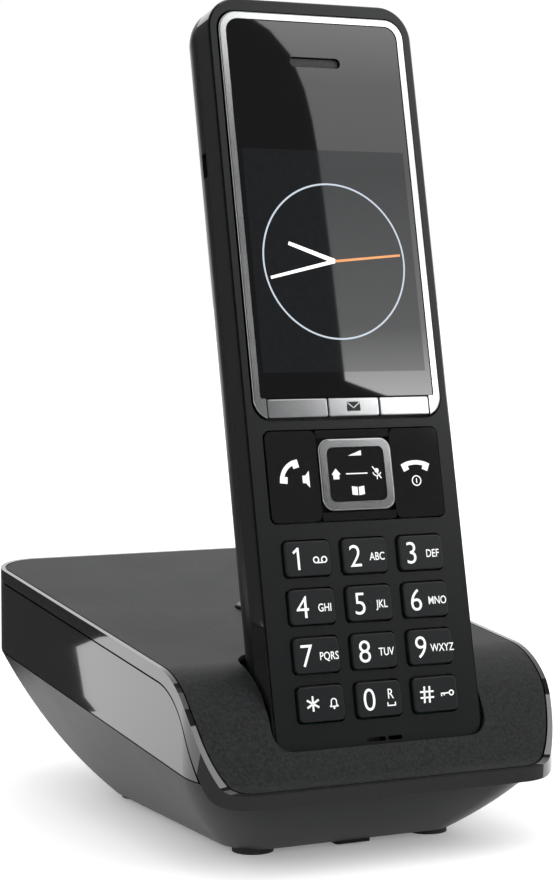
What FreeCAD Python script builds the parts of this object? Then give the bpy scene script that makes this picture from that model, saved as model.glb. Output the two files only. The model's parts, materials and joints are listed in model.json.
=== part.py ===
import FreeCAD, Part
import math
import os
import Sketcher

V = FreeCAD.Vector
doc = FreeCAD.newDocument("cordless_phone_with_base")
sheet = doc.addObject("Spreadsheet::Sheet", "Sizes")

# Driving sizes in millimetres and degrees. Y is depth, Z is height.
SIZES = {
    # charging base, outside
    "baseWidth": 87.5, "baseDepth": 132.0, "baseRound": 12.5,
    "plateauHeight": 45.7, "plateauRise": 6.2, "shelfHeight": 17.6, "shelfRise": 8.0,
    "slopeAngle": 63.0, "slopeY": -60.5, "slopeZ": 23.8, "slopeRound": 20.0,
    "shelfRound": 3.5,
    "coverThick": 2.9, "recessDepth": 1.25, "inlayThick": 0.9, "recessInset": 1.1,
    "inlayInset": 1.45, "seamGap": 0.4, "panelWall": 2.0,
    "beltHeight": 26.0, "beltRise": 5.8, "beltGap": 0.3,
    "midHeight": 13.2, "midRise": 2.6, "midWidth": 75.0, "midDepth": 107.0, "midShift": -5.5,
    "soleHeight": 1.5, "soleWidth": 56.0, "soleDepth": 74.0, "soleShift": -10.0,
    "soleRound": 9.0, "hullWall": 2.0, "floorThick": 1.9,
    "footDiameter": 9.0,
    "tabWidth": 8.5, "tabDepth": 3.2, "tabDrop": 0.9,
    # handset stance in the cradle
    "lean": 12.162, "standY": -59.68, "standZ": 20.05,
    "wellGap": 0.6, "wellRound": 2.5, "wellBackRound": 8.0, "wellWall": 1.4, "rimLine": 4.4, "rimRound": 4.5,
    "wellFloor": 0.2, "wellFloorThick": 1.4,
    # handset outside
    "faceWidth": 49.0, "faceLength": 165.6, "faceMiddle": 83.8, "faceRound": 7.0,
    "faceLip": 0.4, "faceThick": 2.4, "bandWidth": 50.0, "bandLength": 166.2,
    "bandWall": 1.6, "bandDepth": 6.4, "bandClear": 0.35, "rearDepth": 18.5,
    "rearInset": 0.2, "rearRound": 10.0, "rearWall": 1.7,
    # display window, bezel and keys
    "bezelHalf": 22.7, "bezelTop": 163.8, "bezelFoot": 74.1, "bezelWall": 1.6,
    "bezelProud": 0.5, "bezelRound": 4.5, "bezelSeat": 1.6, "lensGap": 0.15,
    "lensFoot": 78.8, "lensProud": 0.25, "lensSeat": 1.5, "slotWidth": 12.4,
    "slotHeight": 2.3, "slotMiddle": 153.1,
    "keyWidth": 10.62, "keyHeight": 7.39, "keyRound": 1.1, "keyProud": 0.9, "keySeat": 2.5,
    "keyGap": 0.4, "keyPitchX": 13.68, "keyPitchZ": 10.17, "keyFirst": 44.365,
    "softFoot": 74.53, "softHeight": 3.92, "softSpan": 39.0, "softSplit": 0.3,
    "messageWidth": 12.2, "messageShift": 1.0, "legClear": 0.3,
    "softProud": 0.6, "softSeat": 2.0,
    "navHalf": 20.91, "navFoot": 52.17, "navHeight": 19.4, "navRound": 1.7,
    "padWidth": 17.46, "padHeight": 15.46, "padMiddle": 61.89, "padRound": 2.6,
    "padWall": 1.85, "navGap": 0.35, "wingGap": 0.25, "trimGap": 0.1, "navProud": 0.35, "padProud": 0.9,
    # parts inside the handset
    "boardWidth": 44.0, "boardLength": 156.0, "boardDepth": 6.2, "boardThick": 1.2,
    "matDepth": 4.2, "matThick": 1.0, "matWidth": 43.0, "matLength": 69.5, "matMiddle": 45.0,
    "cellDiameter": 10.4, "cellLength": 44.5, "cellMiddle": 68.0, "cellDepth": 11.55,
    "doorWidth": 27.0, "doorLength": 61.4, "doorMiddle": 68.0, "doorGap": 0.35,
    "notchLength": 5.3, "notchHeight": 2.2, "notchMiddle": 131.5, "notchDepth": 7.4,
    # paging key and sockets
    "pageDiameter": 9.0, "pageShift": 2.5, "pageProud": 0.8, "pageGap": 0.3,
    "jackShift": -24.0, "jackBore": 5.6, "jackDeep": 9.0, "jackHeight": 39.0,
    "lineShift": 20.0, "lineWidth": 11.8, "lineHeight": 7.4, "lineDeep": 11.0,
}

# Centres of the two arcs in the base's side profile, which follow from the lines they join.
DERIVED = {
    "crestY": "=(plateauHeight - slopeRound / cos(plateauRise * 1 deg) - slopeZ"
              " + tan(slopeAngle * 1 deg) * slopeY + slopeRound / cos(slopeAngle * 1 deg))"
              " / (tan(slopeAngle * 1 deg) - tan(plateauRise * 1 deg))",
    "crestZ": "=plateauHeight - slopeRound / cos(plateauRise * 1 deg)"
              " + tan(plateauRise * 1 deg) * crestY",
    "toeY": "=(shelfHeight + shelfRound / cos(shelfRise * 1 deg)"
            " + tan(shelfRise * 1 deg) * baseDepth / 2 - slopeZ"
            " + tan(slopeAngle * 1 deg) * slopeY - shelfRound / cos(slopeAngle * 1 deg))"
            " / (tan(slopeAngle * 1 deg) - tan(shelfRise * 1 deg))",
    "toeZ": "=shelfHeight + shelfRound / cos(shelfRise * 1 deg)"
            " + tan(shelfRise * 1 deg) * (toeY + baseDepth / 2)",
}


def fill_sheet():
    row = 1
    for name, content in list(SIZES.items()) + list(DERIVED.items()):
        sheet.set("A%d" % row, name)
        sheet.set("B%d" % row, str(content))
        sheet.setAlias("B%d" % row, name)
        row += 1
    doc.recompute()


fill_sheet()


def num(term):
    # A term is a number, a size name, or a list of (factor, term) pairs that are added.
    if isinstance(term, (int, float)):
        return float(term)
    if isinstance(term, str):
        return float(sheet.get(term))
    return sum(factor * num(part) for factor, part in term)


def formula(term):
    if isinstance(term, (int, float)):
        return "%g" % term
    if isinstance(term, str):
        return "Sizes." + term
    return "(" + " + ".join("%g * %s" % (factor, formula(part)) for factor, part in term) + ")"


def bind(item, path, term, unit=""):
    item.setExpression(path, "(%s)%s" % (formula(term), unit))


def plane_of(body, role):
    return [f for f in body.Origin.OriginFeatures if f.Role == role][0]


def sketch(body, role, lift=0.0, tilt=None):
    sk = body.newObject("Sketcher::SketchObject", "Sketch")
    sk.AttachmentSupport = [(plane_of(body, role), "")]
    sk.MapMode = "FlatFace"
    angle = num(tilt) if tilt else 0.0
    sk.AttachmentOffset = FreeCAD.Placement(
        V(0, 0, num(lift)), FreeCAD.Rotation(V(1, 0, 0), angle))
    bind(sk, "AttachmentOffset.Base.z", lift)
    if tilt:
        bind(sk, "AttachmentOffset.Rotation.Angle", tilt, " * 1 deg")
    return sk


def rule(sk, name, term, *args):
    index = sk.addConstraint(Sketcher.Constraint(*(args + (num(term),))))
    sk.renameConstraint(index, name)
    bind(sk, "Constraints." + name, term)


def outline(sk, width, height, radius, x=0.0, y=0.0, mark=""):
    # Rounded rectangle: four sides and four corner arcs, placed by its middle.
    w, h, r, cx, cy = num(width), num(height), num(radius), num(x), num(y)
    left, right, low, high = cx - w / 2, cx + w / 2, cy - h / 2, cy + h / 2
    ends = [((left + r, low), (right - r, low)), ((right, low + r), (right, high - r)),
            ((right - r, high), (left + r, high)), ((left, high - r), (left, low + r))]
    sides = [sk.addGeometry(Part.LineSegment(V(a[0], a[1], 0), V(b[0], b[1], 0)), False)
             for a, b in ends]
    spots = [(right - r, low + r), (right - r, high - r), (left + r, high - r), (left + r, low + r)]
    arcs = []
    for i in range(4):
        circle = Part.Circle(V(spots[i][0], spots[i][1], 0), V(0, 0, 1), r)
        start = math.pi * (1.5 + 0.5 * i)
        arcs.append(sk.addGeometry(Part.ArcOfCircle(circle, start, start + math.pi / 2), False))
    for i in range(4):
        sk.addConstraint(Sketcher.Constraint("Tangent", sides[i], 2, arcs[i], 1))
        sk.addConstraint(Sketcher.Constraint("Tangent", arcs[i], 2, sides[(i + 1) % 4], 1))
        if i:
            sk.addConstraint(Sketcher.Constraint("Equal", arcs[0], arcs[i]))
    for i, kind in enumerate(("Horizontal", "Vertical", "Horizontal", "Vertical")):
        sk.addConstraint(Sketcher.Constraint(kind, sides[i]))
    rule(sk, "round" + mark, radius, "Radius", arcs[0])
    rule(sk, "wide" + mark, width, "DistanceX", sides[3], 1, sides[1], 1)
    rule(sk, "high" + mark, height, "DistanceY", sides[0], 1, sides[2], 1)
    rule(sk, "placeX" + mark, [(1, x), (-0.5, width)], "DistanceX", -1, 1, sides[3], 1)
    rule(sk, "placeY" + mark, [(1, y), (-0.5, height)], "DistanceY", -1, 1, sides[0], 1)


def disc(sk, diameter, x=0.0, y=0.0, mark=""):
    circle = Part.Circle(V(num(x), num(y), 0), V(0, 0, 1), num(diameter) / 2)
    index = sk.addGeometry(circle, False)
    rule(sk, "across" + mark, diameter, "Diameter", index)
    rule(sk, "placeX" + mark, x, "DistanceX", -1, 1, index, 3)
    rule(sk, "placeY" + mark, y, "DistanceY", -1, 1, index, 3)


def new_body(label):
    body = doc.addObject("PartDesign::Body", "Body")
    body.Label = label
    return body


def grow(body, sk, length, kind="Pad"):
    feature = body.newObject("PartDesign::" + kind, kind)
    feature.Profile = sk
    feature.Length = num(length)
    bind(feature, "Length", length)
    if kind == "Pocket":
        feature.Reversed = True
    sk.Visibility = False
    doc.recompute()
    return feature


def slab(body, role, low, high, shape, *args, kind="Pad"):
    # Solid or cut between two heights over the plane, with the outline given.
    sk = sketch(body, role, low)
    shape(sk, *args)
    return grow(body, sk, [(1, high), (-1, low)], kind)


def simple(label, role, low, high, shape, *args):
    body = new_body(label)
    slab(body, role, low, high, shape, *args)
    return body


def edges_at(feature, axis, level):
    # Names of the edges that lie in the plane where the axis has this level.
    names = []
    for i, edge in enumerate(feature.Shape.Edges):
        if all(abs(v.Point[axis] - level) < 1e-4 for v in edge.Vertexes):
            names.append("Edge%d" % (i + 1))
    return names


def soften(body, axis, level, radius, kind="Fillet"):
    base = body.Tip
    feature = body.newObject("PartDesign::" + kind, kind)
    feature.Base = (base, edges_at(base, axis, num(level)))
    name = "Radius" if kind == "Fillet" else "Size"
    setattr(feature, name, num(radius))
    bind(feature, name, radius)
    doc.recompute()
    return feature


def join(kind, label, first, *others):
    if kind == "Cut" and len(others) > 1:
        merged = doc.addObject("Part::MultiFuse", "Fuse")
        merged.Shapes = list(others)
        others = (merged,)
    if kind == "Cut":
        result = doc.addObject("Part::Cut", "Cut")
        result.Base, result.Tool = first, others[0]
    else:
        result = doc.addObject("Part::Multi" + kind, kind)
        result.Shapes = [first] + list(others)
    result.Label = label
    doc.recompute()
    return result


def stand(item):
    # Handset pieces are drawn upright and lean back together into the cradle.
    item.Placement = FreeCAD.Placement(
        V(0, num("standY"), num("standZ")), FreeCAD.Rotation(V(-1, 0, 0), num("lean")))
    bind(item, "Placement.Base.y", "standY")
    bind(item, "Placement.Base.z", "standZ")
    bind(item, "Placement.Rotation.Angle", "lean", " * 1 deg")
    return item


def under_profile(label, drop):
    # Everything under the base's S-shaped side profile, lowered by the drop.
    body = new_body(label)
    sk = sketch(body, "YZ_Plane", [(-0.6, "baseWidth")])
    d, far, floor = num(drop), num("baseDepth") / 2 + 8, -12.0
    rise, steep, flat = [math.radians(num(n)) for n in ("plateauRise", "slopeAngle", "shelfRise")]
    crest, toe = (num("crestY"), num("crestZ")), (num("toeY"), num("toeZ"))
    big, small = num("slopeRound") - d, num("shelfRound") + d

    def on(centre, radius, angle):
        return (centre[0] + radius * math.cos(angle), centre[1] + radius * math.sin(angle))
    a = on(crest, big, math.pi / 2 + rise)
    b = on(crest, big, math.pi / 2 + steep)
    c = on(toe, small, steep - math.pi / 2)
    e = on(toe, small, flat - math.pi / 2)
    back = (far, a[1] + (far - a[0]) * math.tan(rise))
    front = (-far, e[1] - (far + e[0]) * math.tan(flat))
    line = [(a, back), (b, c), (front, e), (front, (-far, floor)), ((-far, floor), (far, floor)),
            ((far, floor), back)]
    g = [sk.addGeometry(Part.LineSegment(V(p[0], p[1], 0), V(q[0], q[1], 0)), False)
         for p, q in line]
    top = sk.addGeometry(Part.ArcOfCircle(Part.Circle(V(crest[0], crest[1], 0), V(0, 0, 1), big),
                                          math.pi / 2 + rise, math.pi / 2 + steep), False)
    low = sk.addGeometry(Part.ArcOfCircle(Part.Circle(V(toe[0], toe[1], 0), V(0, 0, 1), small),
                                          flat - math.pi / 2, steep - math.pi / 2), False)
    for pair in ((g[0], 1, top, 1), (top, 2, g[1], 1), (g[1], 2, low, 2), (low, 1, g[2], 2)):
        sk.addConstraint(Sketcher.Constraint("Tangent", *pair))
    for pair in ((g[2], 1, g[3], 1), (g[3], 2, g[4], 1), (g[4], 2, g[5], 1), (g[5], 2, g[0], 2)):
        sk.addConstraint(Sketcher.Constraint("Coincident", *pair))
    for i, kind in ((3, "Vertical"), (4, "Horizontal"), (5, "Vertical")):
        sk.addConstraint(Sketcher.Constraint(kind, g[i]))
    for index, centre, name in ((top, ("crestY", "crestZ"), "crest"), (low, ("toeY", "toeZ"), "toe")):
        rule(sk, name + "Across", centre[0], "DistanceX", -1, 1, index, 3)
        rule(sk, name + "Up", centre[1], "DistanceY", -1, 1, index, 3)
    rule(sk, "crestRound", [(1, "slopeRound"), (-1, drop)], "Radius", top)
    rule(sk, "toeRound", [(1, "shelfRound"), (1, drop)], "Radius", low)
    for index, name in ((g[0], "plateauRise"), (g[2], "shelfRise")):
        turn = sk.addConstraint(Sketcher.Constraint("Angle", index, math.radians(num(name))))
        sk.renameConstraint(turn, name)
        sk.setExpression("Constraints." + name, "Sizes.%s * 1 deg" % name)
    rule(sk, "backEnd", [(0.5, "baseDepth"), (1, 8)], "DistanceX", -1, 1, g[4], 2)
    rule(sk, "frontEnd", [(-0.5, "baseDepth"), (1, -8)], "DistanceX", -1, 1, g[4], 1)
    rule(sk, "under", -12.0, "DistanceY", -1, 1, g[4], 1)
    grow(body, sk, [(1.2, "baseWidth")])
    return body


nodes = []


def keep(item, label):
    item.Label = label
    nodes.append(item)
    return item


# --- Charging base ---------------------------------------------------------------
full_plan = simple("plan_full", "XY_Plane", 0.5, 58.0, outline, "baseWidth", "baseDepth", "baseRound")
skin = under_profile("profile_skin", 0.0)
skin_low = under_profile("profile_cover_under", "coverThick")
skin_gap = under_profile("profile_seam", [(1, "coverThick"), (1, "seamGap")])
skin_recess = under_profile("profile_recess", "recessDepth")
skin_inlay = under_profile("profile_inlay", "inlayThick")


def inset_plan(label, inset):
    return simple(label, "XY_Plane", 0.5, 58.0, outline, [(1, "baseWidth"), (-2, inset)],
                  [(1, "baseDepth"), (-2, inset)], [(1, "baseRound"), (-1, inset)])


# The hollow that takes the handset: its section below, and a rounded opening over the rim.
well_wide = [(1, "bandWidth"), (2, "wellGap")]
well_long = [(1, "rearDepth"), (2, "wellGap")]


def well_front(sk):
    outline(sk, well_wide, [(0.5, well_long)], "wellRound", 0, [(0.25, well_long), (-1, "wellGap")])


def well_back(sk):
    outline(sk, well_wide, well_long, "wellBackRound", 0, [(0.5, "rearDepth")])


well_cut = new_body("well_space")
slab(well_cut, "XY_Plane", -8.0, 70.0, well_front)
slab(well_cut, "XY_Plane", -8.0, 70.0, well_back)
slab(well_cut, "XZ_Plane", -4.0, 9.0, outline, well_wide, 60.0, "rimRound", 0,
     [(1, "rimLine"), (1, 30.0)])
stand(well_cut)

page_cut = new_body("page_space")
slab(page_cut, "XY_Plane", -20.0, 6.0, disc, [(1, "pageDiameter"), (2, "pageGap")])


def on_plateau(item):
    # The paging key and its parts are drawn level and tilt with the plateau.
    item.Placement = FreeCAD.Placement(
        V(0, num("pageShift"), num("plateauHeight") + math.tan(math.radians(num("plateauRise")))
          * num("pageShift")), FreeCAD.Rotation(V(1, 0, 0), num("plateauRise")))
    bind(item, "Placement.Base.y", "pageShift")
    item.setExpression("Placement.Base.z",
                       "Sizes.plateauHeight + tan(Sizes.plateauRise * 1 deg) * Sizes.pageShift")
    bind(item, "Placement.Rotation.Angle", "plateauRise", " * 1 deg")
    return item


on_plateau(page_cut)

cover_shell = join("Common", "cover_shell", full_plan, skin)
recess = join("Cut", "recess", inset_plan("plan_recess", "recessInset"), skin_recess)
keep(join("Cut", "cover", cover_shell, skin_low, recess, well_cut, page_cut), "base_top_cover")

inlay_plan = join("Common", "inlay_block", inset_plan("plan_inlay", "inlayInset"), skin)
keep(join("Cut", "inlay", inlay_plan, skin_inlay, well_cut, page_cut), "base_top_inlay")


# The side panel runs from the belt up to the cover, the hull from the belt down to the sole.
def belt_block(label, low, high):
    body = new_body(label)
    sk = sketch(body, "XY_Plane", [(1, "beltHeight"), (1, low)], "beltRise")
    outline(sk, [(1.3, "baseWidth")], [(1.3, "baseDepth")], 5.0)
    grow(body, sk, [(1, high), (-1, low)])
    return body


over_belt = belt_block("over_belt", 0.0, 45.0)
panel_wall = simple("panel_wall", "XY_Plane", 0.5, 60.0, outline, "baseWidth", "baseDepth", "baseRound")
slab(panel_wall, "XY_Plane", 0.4, 60.1, outline, [(1, "baseWidth"), (-2, "panelWall")],
     [(1, "baseDepth"), (-2, "panelWall")], [(1, "baseRound"), (-1, "panelWall")], kind="Pocket")
panel_cut = new_body("rear_sockets")
slab(panel_cut, "XZ_Plane", [(-0.5, "baseDepth"), (-1, 3)], [(-0.5, "baseDepth"), (1, 5)], outline,
     11.0, 10.0, 1.0, "jackShift", "jackHeight")
slab(panel_cut, "XZ_Plane", [(-0.5, "baseDepth"), (-1, 3)], [(-0.5, "baseDepth"), (1, 5)], outline,
     [(1, "lineWidth"), (1, 3.0)], [(1, "lineHeight"), (1, 3.0)], 0.8, "lineShift", "jackHeight")
panel_core = join("Common", "panel_core", panel_wall, over_belt, skin_gap)
keep(join("Cut", "panel", panel_core, panel_cut), "base_side_panel")


def hull_loft(label, wall, floor, top):
    # Three rounded sections: at the belt, half way down, and at the sole.
    body = new_body(label)
    belt = sketch(body, "XY_Plane", [(1, "beltHeight"), (1, top)], "beltRise")
    outline(belt, [(1, "baseWidth"), (-2, wall)], [(1, "baseDepth"), (-2, wall)],
            [(1, "baseRound"), (-1, wall)])
    middle = sketch(body, "XY_Plane", "midHeight", "midRise")
    outline(middle, [(1, "midWidth"), (-2, wall)], [(1, "midDepth"), (-2, wall)],
            [(1, "baseRound"), (-1, wall)], 0, "midShift")
    sole = sketch(body, "XY_Plane", [(1, "soleHeight"), (1, floor)])
    outline(sole, [(1, "soleWidth"), (-2, wall)], [(1, "soleDepth"), (-2, wall)],
            [(1, "soleRound"), (-1, wall)], 0, "soleShift")
    loft = body.newObject("PartDesign::AdditiveLoft", "Loft")
    loft.Profile = belt
    loft.Sections = [middle, sole]
    doc.recompute()
    return body


hull_outer = hull_loft("hull_outer", 0.0, 0.0, [(-1, "beltGap")])
hull_inner = hull_loft("hull_inner", "hullWall", "floorThick", 0.0)
hull_front = simple("hull_front", "XY_Plane", 0.5, 60.0, outline, [(1.2, "baseWidth")],
                    [(1.2, "baseDepth")], 5.0)
under_seam = join("Common", "under_seam", hull_front, skin_gap)
hull_tray = join("Cut", "hull_tray", join("Common", "hull_trim", hull_outer, under_seam), hull_inner)
tab = simple("tab", "XY_Plane", [(1, "soleHeight"), (-1, "tabDrop")], [(1, "soleHeight"), (1, 0.5)],
             outline, "tabWidth", "tabDepth", 0.8, 0, [(1, "soleShift"), (-0.5, "soleDepth"), (1, 2.2)])
posts = new_body("posts")
for side in (-1, 1):
    for end in (-1, 1):
        slab(posts, "XY_Plane", [(1, "soleHeight"), (1, 0.5)], 7.9, disc, 6.0, 18.0 * side,
             [(1, "soleShift"), (1, 26.0 * end)])
keep(join("Fuse", "hull", hull_tray, tab, posts), "base_lower_shell")

feet = new_body("rubber_feet")
for side in (-1, 1):
    for end in (-1, 1):
        slab(feet, "XY_Plane", 0.0, "soleHeight", disc, "footDiameter",
             [(0.5 * side, [(1, "soleWidth"), (-1, 13.0)])],
             [(1, "soleShift"), (0.5 * end, [(1, "soleDepth"), (-1, 13.0)])])
keep(feet, "rubber_feet")

board = simple("base_circuit_board", "XY_Plane", 8.0, 9.4, outline, 44.0, 60.0, 2.0, 0, "soleShift")
keep(board, "base_circuit_board")
screws = new_body("base_screws")
for side in (-1, 1):
    for end in (-1, 1):
        slab(screws, "XY_Plane", 9.5, 11.2, disc, 4.6, 18.0 * side,
             [(1, "soleShift"), (1, 26.0 * end)])
keep(screws, "base_screws")
antenna = simple("base_antenna", "XY_Plane", 9.5, 18.0, outline, 34.0, 0.8, 0.3, 0,
                 [(1, "soleShift"), (1, 22.0)])
keep(antenna, "base_antenna")

jack = new_body("power_socket")
slab(jack, "XZ_Plane", [(-0.5, "baseDepth"), (1, 0.3)], [(-0.5, "baseDepth"), (1, 13.0)], outline,
     10.4, 9.4, 0.9, "jackShift", "jackHeight")
slab(jack, "XZ_Plane", [(-0.5, "baseDepth"), (1, 0.2)], [(-0.5, "baseDepth"), (1, 0.3), (1, "jackDeep")],
     disc, "jackBore", "jackShift", "jackHeight", kind="Pocket")
keep(jack, "power_socket")
line = new_body("line_socket")
slab(line, "XZ_Plane", [(-0.5, "baseDepth"), (1, 0.3)], [(-0.5, "baseDepth"), (1, 14.0)], outline,
     [(1, "lineWidth"), (1, 2.4)], [(1, "lineHeight"), (1, 2.4)], 0.7, "lineShift", "jackHeight")
slab(line, "XZ_Plane", [(-0.5, "baseDepth"), (1, 0.2)], [(-0.5, "baseDepth"), (1, 0.3), (1, "lineDeep")],
     outline, "lineWidth", "lineHeight", 0.5, "lineShift", "jackHeight", kind="Pocket")
keep(line, "line_socket")

# Liner of the cradle well, open at the front where the cover itself is the wall.
liner = new_body("liner_block")
slab(liner, "XY_Plane", [(1, "wellFloor"), (-1, "wellFloorThick")], 60.0, outline,
     [(1, well_wide), (2, "wellWall")], [(1, well_long), (1, "wellWall"), (-1, 0.35)], "wellRound", 0,
     [(0.5, "rearDepth"), (0.5, "wellWall"), (0.5, 0.35)])
slab(liner, "XY_Plane", "wellFloor", 61.0, outline, [(1, well_wide), (0, 0.1)],
     [(1, well_long), (1, 4.0)], "wellRound", 0, [(0.5, "rearDepth"), (-0.5, 4.0)], kind="Pocket")
for side in (-1, 1):
    slab(liner, "XY_Plane", -5.0, 2.0, outline, 3.6, 5.6, 0.5, 9.0 * side, 11.0, kind="Pocket")
stand(liner)
liner_trim = under_profile("profile_liner", [(1, "coverThick"), (1, "seamGap")])
keep(join("Common", "well", liner, liner_trim), "cradle_well")

for side, label in ((-1, "charge_contact_left"), (1, "charge_contact_right")):
    pin = new_body(label)
    slab(pin, "XY_Plane", -4.0, 0.5, outline, 3.0, 5.0, 0.4, 9.0 * side, 11.0)
    keep(stand(pin), label)
springs = new_body("charge_springs")
for side in (-1, 1):
    slab(springs, "XY_Plane", -6.2, -4.9, outline, 4.0, 6.0, 0.4, 9.0 * side, 11.0)
keep(stand(springs), "charge_springs")

page = new_body("paging_key")
slab(page, "XY_Plane", [(-1, "coverThick"), (-1, 0.6)], "pageProud", disc, "pageDiameter")
soften(page, 2, "pageProud", 0.4)
keep(on_plateau(page), "paging_key")
pager = new_body("paging_switch_board")
slab(pager, "XY_Plane", -10.0, -8.8, outline, 24.0, 14.0, 1.0)
slab(pager, "XY_Plane", -8.9, -4.6, outline, 6.0, 6.0, 0.5)
for side in (-1, 1):
    slab(pager, "XY_Plane", -8.9, [(-1, "coverThick"), (-1, 0.15)], disc, 4.0, 9.0 * side, 0)
keep(on_plateau(pager), "paging_switch_board")


# --- Handset ---------------------------------------------------------------------
key_columns = (-1, 0, 1)
key_rows = (0, 1, 2, 3)


def key_spot(column, row):
    return [(column, "keyPitchX")], [(1, "keyFirst"), (-row, "keyPitchZ")]


front = new_body("handset_front_shell")
slab(front, "XZ_Plane", [(-1, "faceLip")], 0.0, outline, "faceWidth", "faceLength", "faceRound", 0,
     "faceMiddle")
inner_wide = [(1, "bandWidth"), (-2, "bandWall"), (-2, "bandClear")]
inner_long = [(1, "bandLength"), (-2, "bandWall"), (-2, "bandClear")]
slab(front, "XZ_Plane", [(-1, "faceThick")], 0.0, outline, inner_wide, inner_long,
     [(1, "faceRound"), (-1, 1.6)], 0, "faceMiddle")
through = ("XZ_Plane", [(-1, "faceThick"), (-1, 0.5)], 1.0, outline)
slab(front, *through, [(2, "bezelHalf"), (2, "navGap")],
     [(1, "bezelTop"), (-1, "bezelFoot"), (2, "navGap")], "bezelRound", 0,
     [(0.5, "bezelTop"), (0.5, "bezelFoot")], kind="Pocket")
slab(front, *through, [(2, "navHalf"), (2, "navGap")], [(1, "navHeight"), (2, "navGap")], "navRound",
     0, [(1, "navFoot"), (0.5, "navHeight")], kind="Pocket")
for row in key_rows:
    for column in key_columns:
        slab(front, *through, [(1, "keyWidth"), (2, "keyGap")], [(1, "keyHeight"), (2, "keyGap")],
             [(1, "keyRound"), (0.5, "keyGap")], *key_spot(column, row), kind="Pocket")
for middle, width in ((-1.2, 4.6), (3.4, 3.4)):
    slab(front, *through, width, 0.9, 0.4, middle, 5.5, kind="Pocket")
keep(stand(front), "handset_front_shell")

band = new_body("handset_side_band")
slab(band, "XZ_Plane", [(-1, "bandDepth")], [(-1, "faceLip"), (-1, 0.05)], outline, "bandWidth",
     "bandLength", [(1, "faceRound"), (1, 0.4)], 0, "faceMiddle")
slab(band, "XZ_Plane", [(-1, "bandDepth"), (-1, 0.5)], 0.5, outline,
     [(1, "bandWidth"), (-2, "bandWall")], [(1, "bandLength"), (-2, "bandWall")],
     [(1, "faceRound"), (-1, 1.2)], 0, "faceMiddle", kind="Pocket")
keep(stand(band), "handset_side_band")

rear = new_body("handset_rear_shell")
slab(rear, "XZ_Plane", [(-1, "rearDepth")], [(-1, "bandDepth"), (-1, 0.05)], outline,
     [(1, "bandWidth"), (-2, "rearInset")], [(1, "bandLength"), (-2, "rearInset")], "faceRound", 0,
     "faceMiddle")
soften(rear, 1, "rearDepth", "rearRound")
# The hollow steps inwards towards the back so the wall stays even behind the large edge round.
for low, high, inset in ((-10.5, 0.0, "bandWall"), (-13.9, -10.4, 3.7),
                         ([(-1, "rearDepth"), (1, "rearWall")], -13.8, 7.9)):
    slab(rear, "XZ_Plane", low, high, outline, [(1, "bandWidth"), (-2, inset)],
         [(1, "bandLength"), (-2, inset)], 2.5, 0, "faceMiddle", kind="Pocket")
slab(rear, "XZ_Plane", [(-1, "rearDepth"), (-1, 1.0)], -15.5, outline,
     [(1, "doorWidth"), (2, "doorGap")], [(1, "doorLength"), (2, "doorGap")], 3.0, 0, "doorMiddle",
     kind="Pocket")
for side in (-1, 1):
    slab(rear, "XZ_Plane", [(-1, "notchDepth"), (-1, "notchHeight")], [(-1, "notchDepth")], outline,
         4.0, "notchLength", 0.6, [(0.5 * side, "bandWidth")], "notchMiddle", kind="Pocket")
    for height in (16.0, 152.0):
        slab(rear, "XZ_Plane", [(-1, "rearDepth"), (-1, 1.0)], -15.0, disc, 4.6, 11.0 * side, height,
             kind="Pocket")
for spot in range(5):
    slab(rear, "XZ_Plane", [(-1, "rearDepth"), (-1, 1.0)], -15.0, outline, 14.0, 1.0, 0.4, 0,
         126.0 + 2.4 * spot, kind="Pocket")
keep(stand(rear), "handset_rear_shell")

door = simple("battery_cover", "XZ_Plane", [(-1, "rearDepth")], [(-1, "rearDepth"), (1, 1.6)],
              outline, "doorWidth", "doorLength", 2.7, 0, "doorMiddle")
keep(stand(door), "battery_cover")
rear_screws = new_body("handset_screws")
for side in (-1, 1):
    for height in (16.0, 152.0):
        slab(rear_screws, "XZ_Plane", [(-1, "rearDepth"), (1, 0.4)], [(-1, "rearDepth"), (1, 2.4)], disc,
             4.0, 11.0 * side, height)
keep(stand(rear_screws), "handset_screws")

cells = new_body("battery_pack")
for side in (-1, 1):
    slab(cells, "XY_Plane", [(1, "cellMiddle"), (-0.5, "cellLength")],
         [(1, "cellMiddle"), (0.5, "cellLength")], disc, "cellDiameter",
         [(0.5 * side, "cellDiameter"), (side, 0.05)], "cellDepth")
slab(cells, "XY_Plane", [(1, "cellMiddle"), (-8, 1.0)], [(1, "cellMiddle"), (8, 1.0)], outline,
     6.0, 3.0, 1.0, 0, "cellDepth")
keep(stand(cells), "battery_pack")
clips = new_body("battery_contacts")
for side in (-1, 1):
    slab(clips, "XZ_Plane", -15.8, -8.0, outline, 20.0, 1.0, 0.3, 0,
         [(1, "cellMiddle"), (0.5 * side, "cellLength"), (side, 0.7)])
keep(stand(clips), "battery_contacts")

handset_board = simple("handset_board", "XZ_Plane", [(-1, "boardDepth")],
                       [(-1, "boardDepth"), (1, "boardThick")], outline, "boardWidth", "boardLength",
                       4.0, 0, "faceMiddle")
keep(stand(handset_board), "handset_board")
mat = simple("keypad_mat", "XZ_Plane", [(-1, "matDepth")], [(-1, "matDepth"), (1, "matThick")],
             outline, "matWidth", "matLength", 2.0, 0, "matMiddle")
keep(stand(mat), "keypad_mat")
lcd = simple("lcd_module", "XZ_Plane", -4.6, -1.8, outline, 41.0, 52.0, 1.0, 0, 109.0)
keep(stand(lcd), "lcd_module")
speaker = simple("earpiece_speaker", "XZ_Plane", -4.6, -2.0, disc, 14.0, 0, "slotMiddle")
keep(stand(speaker), "earpiece_speaker")
mic = simple("microphone", "XZ_Plane", -4.8, -2.6, disc, 5.0, 0, 6.6)
keep(stand(mic), "microphone")
loud = simple("loudspeaker", "XZ_Plane", -16.6, -12.0, disc, 20.0, 0, 130.8)
keep(stand(loud), "loudspeaker")
pads = new_body("handset_charge_pads")
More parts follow.
